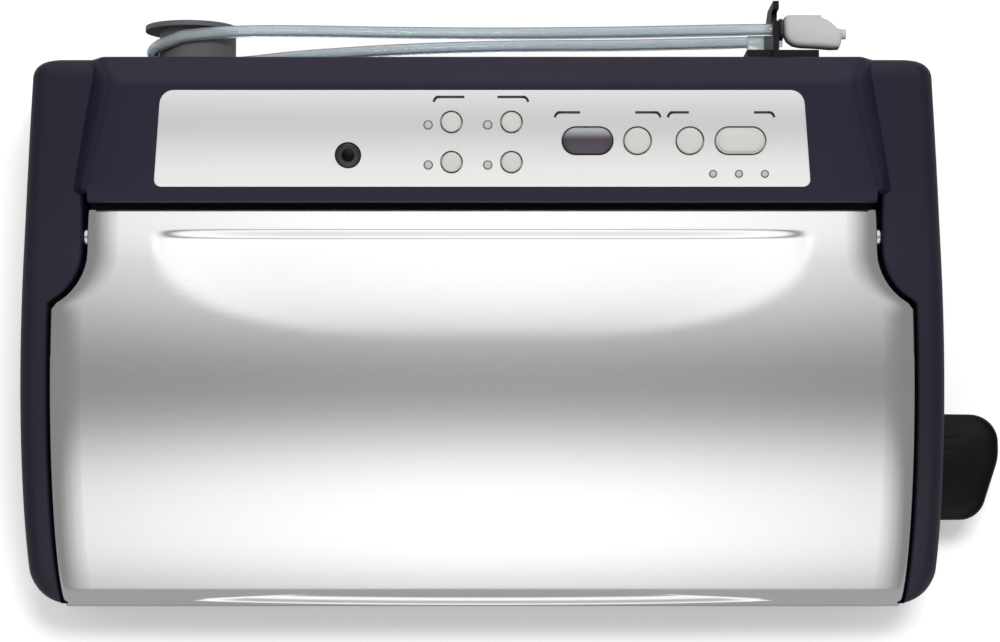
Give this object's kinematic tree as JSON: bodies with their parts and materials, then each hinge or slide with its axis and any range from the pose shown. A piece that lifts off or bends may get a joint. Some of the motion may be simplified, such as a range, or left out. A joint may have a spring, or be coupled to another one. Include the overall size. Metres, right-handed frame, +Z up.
{
  "type": "vacuum sealer",
  "caption": "Countertop vacuum sealer with a domed hinged lid, tilted push-button panel, side latch lever, sealing bar, vacuum channel, drip tray and an accessory hose stowed at the back.",
  "frame": {"origin": "centre of the bounding box of the object without its hose, on the surface that the feet stand on", "axes": "+X to the user's right, +Y to the rear wall with the hose, +Z up"},
  "size_m": [0.4509, 0.274, 0.1164],
  "materials": {
    "housing_black": "satin",
    "deck_grey": "matte",
    "lid_silver": "brushed satin silver",
    "panel_silver": "satin",
    "steel": "polished",
    "bright_steel": "plain",
    "rubber_black": "matte",
    "key_light": "gloss",
    "key_dark": "gloss",
    "lens": "gloss",
    "port_black": "gloss",
    "lever_black": "gloss",
    "board_green": "gloss",
    "part_dark": "matte",
    "part_light": "matte",
    "heater_pale": "matte",
    "tape_tan": "matte",
    "silicone_red": "matte",
    "tube_clear": "clear, glossy",
    "core_steel": "plain",
    "connector_grey": "satin",
    "tray_grey": "satin"
  },
  "bodies": {
    "base": {"base_pan": "housing_black", "rubber_feet": "rubber_black", "base_screws": "bright_steel", "upper_housing": "housing_black", "cord_gland": "rubber_black", "deck": "deck_grey", "lower_gasket": "rubber_black", "heater_bar": "heater_pale", "heating_element": "bright_steel", "release_tape": "tape_tan", "hinge_pins": "bright_steel", "control_plate": "panel_silver", "indicator_lenses": "lens", "accessory_port": "port_black", "control_board": "board_green", "tact_switches": "part_dark", "indicator_leds": "part_light", "board_screws": "bright_steel", "pump_motor": "bright_steel", "pump_head": "part_dark", "pump_straps": "bright_steel", "vacuum_tube": "tube_clear", "port_tube": "tube_clear", "release_valve": "part_dark", "power_board": "board_green", "transformer": "core_steel", "hose_spool": "housing_black", "spool_screw": "bright_steel", "hose_clip": "housing_black", "clip_screws": "bright_steel", "accessory_hose": "tube_clear", "hose_connector": "connector_grey", "hose_plug": "tube_clear"},
    "lid": {"lid_cover": "lid_silver", "lid_liner": "deck_grey", "lid_screws": "bright_steel", "hinge_barrels": "steel", "upper_gasket": "rubber_black", "pressure_strip": "silicone_red", "lid_catches": "bright_steel", "catch_pins": "steel"},
    "latch": {"latch_shaft": "bright_steel", "latch_hooks": "bright_steel", "latch_lever": "lever_black", "lever_pin": "bright_steel"},
    "tray": {"drip_tray": "tray_grey"},
    "fan": {"pump_fan": "part_dark"},
    "plunger": {"valve_plunger": "steel"},
    "key_fast": {"fast_button": "key_light"},
    "key_normal": {"normal_button": "key_light"},
    "key_moist": {"moist_button": "key_light"},
    "key_dry": {"dry_button": "key_light"},
    "key_vacuum_seal": {"vacuum_seal_button": "key_dark"},
    "key_canister": {"canister_button": "key_light"},
    "key_pulse": {"pulse_button": "key_light"},
    "key_seal": {"seal_button": "key_light"}
  },
  "joints": [
    {"name": "lid_hinge", "type": "hinge", "parent": "base", "child": "lid", "pos_m": [-0.016, 0.0315, 0.086], "axis": [-1, 0, 0], "range_deg": [0, 70]},
    {"name": "latch_turn", "type": "hinge", "parent": "base", "child": "latch", "pos_m": [-0.016, -0.065, 0.038], "axis": [1, 0, 0], "range_deg": [0, 40]},
    {"name": "tray_lift", "type": "slide", "parent": "base", "child": "tray", "axis": [0, 0, 1], "range_m": [0, 0.005]},
    {"name": "fan_spin", "type": "hinge", "parent": "base", "child": "fan", "pos_m": [-0.116, 0.009, 0.0255], "axis": [1, 0, 0], "continuous": true},
    {"name": "plunger_pull", "type": "slide", "parent": "base", "child": "plunger", "axis": [0, 0, -1], "range_m": [0, 0.0018], "stiffness_N_per_m": 400},
    {"name": "fast_press", "type": "slide", "parent": "base", "child": "key_fast", "axis": [0, 0.2419, -0.9703], "range_m": [0, 0.0008], "stiffness_N_per_m": 500},
    {"name": "normal_press", "type": "slide", "parent": "base", "child": "key_normal", "axis": [0, 0.2419, -0.9703], "range_m": [0, 0.0008], "stiffness_N_per_m": 500},
    {"name": "moist_press", "type": "slide", "parent": "base", "child": "key_moist", "axis": [0, 0.2419, -0.9703], "range_m": [0, 0.0008], "stiffness_N_per_m": 500},
    {"name": "dry_press", "type": "slide", "parent": "base", "child": "key_dry", "axis": [0, 0.2419, -0.9703], "range_m": [0, 0.0008], "stiffness_N_per_m": 500},
    {"name": "vacuum_seal_press", "type": "slide", "parent": "base", "child": "key_vacuum_seal", "axis": [0, 0.2419, -0.9703], "range_m": [0, 0.0008], "stiffness_N_per_m": 500},
    {"name": "canister_press", "type": "slide", "parent": "base", "child": "key_canister", "axis": [0, 0.2419, -0.9703], "range_m": [0, 0.0008], "stiffness_N_per_m": 500},
    {"name": "pulse_press", "type": "slide", "parent": "base", "child": "key_pulse", "axis": [0, 0.2419, -0.9703], "range_m": [0, 0.0008], "stiffness_N_per_m": 500},
    {"name": "seal_press", "type": "slide", "parent": "base", "child": "key_seal", "axis": [0, 0.2419, -0.9703], "range_m": [0, 0.0008], "stiffness_N_per_m": 500}
  ]
}
